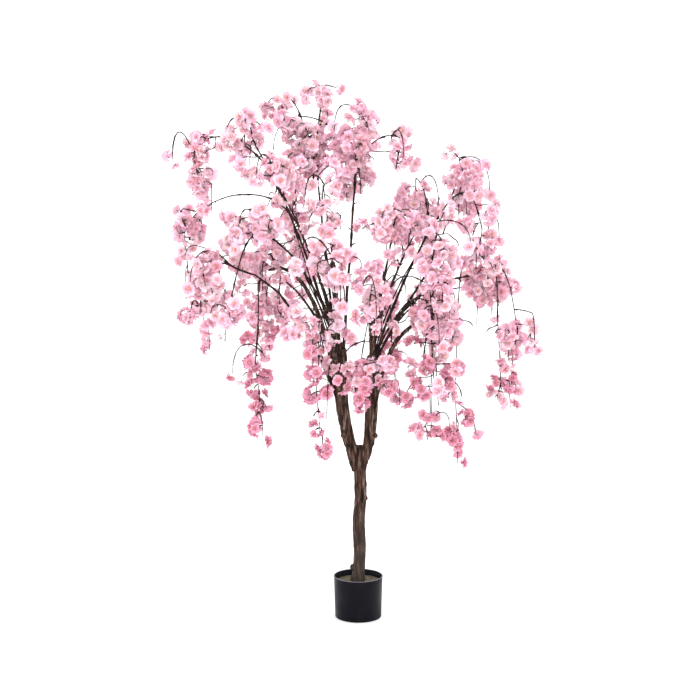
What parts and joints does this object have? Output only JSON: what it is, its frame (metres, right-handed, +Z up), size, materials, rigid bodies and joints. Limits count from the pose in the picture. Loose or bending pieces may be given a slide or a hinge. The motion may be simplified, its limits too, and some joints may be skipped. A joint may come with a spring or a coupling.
{
  "type": "artificial weeping cherry blossom tree",
  "caption": "Artificial weeping cherry tree with pink double blossom, a forked brown trunk and thin drooping twigs, standing in a plain round black pot.",
  "frame": {"origin": "centre of the flat underside of the pot", "axes": "+Z up along the trunk, +X to the right, -Y towards the front"},
  "size_m": [1.2305, 1.0475, 1.8],
  "materials": {
    "pot": "smooth satin black plastic",
    "fill": "rough grey-brown cast fill",
    "bark": "rough fissured dark brown bark",
    "limb": "rough dark grey-brown bark",
    "blossom": "matt pink cloth petals"
  },
  "bodies": {
    "root": {"pot": "pot", "pot_fill": "fill", "trunk": "bark", "bough_left": "bark", "bough_right": "bark", "limb_outer_left": "limb", "limb_mid_left": "limb", "limb_high_left": "limb", "limb_upper_left": "limb", "limb_top_left": "limb", "limb_top": "limb", "limb_front_left": "limb", "limb_back_left": "limb", "limb_upper_back": "limb", "limb_inner_right": "limb", "limb_shoulder_right": "limb", "limb_front_right": "limb", "limb_outer_right": "limb", "limb_back_right": "limb", "blossom_peak": "blossom", "blossom_top_right": "blossom", "blossom_top_left": "blossom", "blossom_top_back": "blossom", "blossom_high_tuft": "blossom", "blossom_high_left": "blossom", "blossom_shoulder_left": "blossom", "blossom_upper_left": "blossom", "blossom_upper_back": "blossom", "blossom_inner_front": "blossom", "blossom_edge_left": "blossom", "blossom_mid_left": "blossom", "blossom_band_left": "blossom", "blossom_band_back": "blossom", "blossom_far_back_left": "blossom", "blossom_tuft_left": "blossom", "blossom_tuft_front_left": "blossom", "blossom_low_back_left": "blossom", "blossom_drop_left": "blossom", "blossom_low_front_left": "blossom", "blossom_drop_front": "blossom", "blossom_low_front": "blossom", "blossom_front_left": "blossom", "blossom_front": "blossom", "blossom_far_back": "blossom", "blossom_inner_right": "blossom", "blossom_upper_right": "blossom", "blossom_high_right": "blossom", "blossom_shoulder_right": "blossom", "blossom_back_right": "blossom", "blossom_edge_right": "blossom", "blossom_front_right": "blossom", "blossom_band_right": "blossom", "blossom_low_back_right": "blossom", "blossom_far_right": "blossom", "blossom_drop_right": "blossom", "blossom_low_right": "blossom", "blossom_low_back": "blossom", "blossom_drop_front_right": "blossom", "blossom_hem_front": "blossom", "blossom_hem_right": "blossom"}
  },
  "joints": []
}
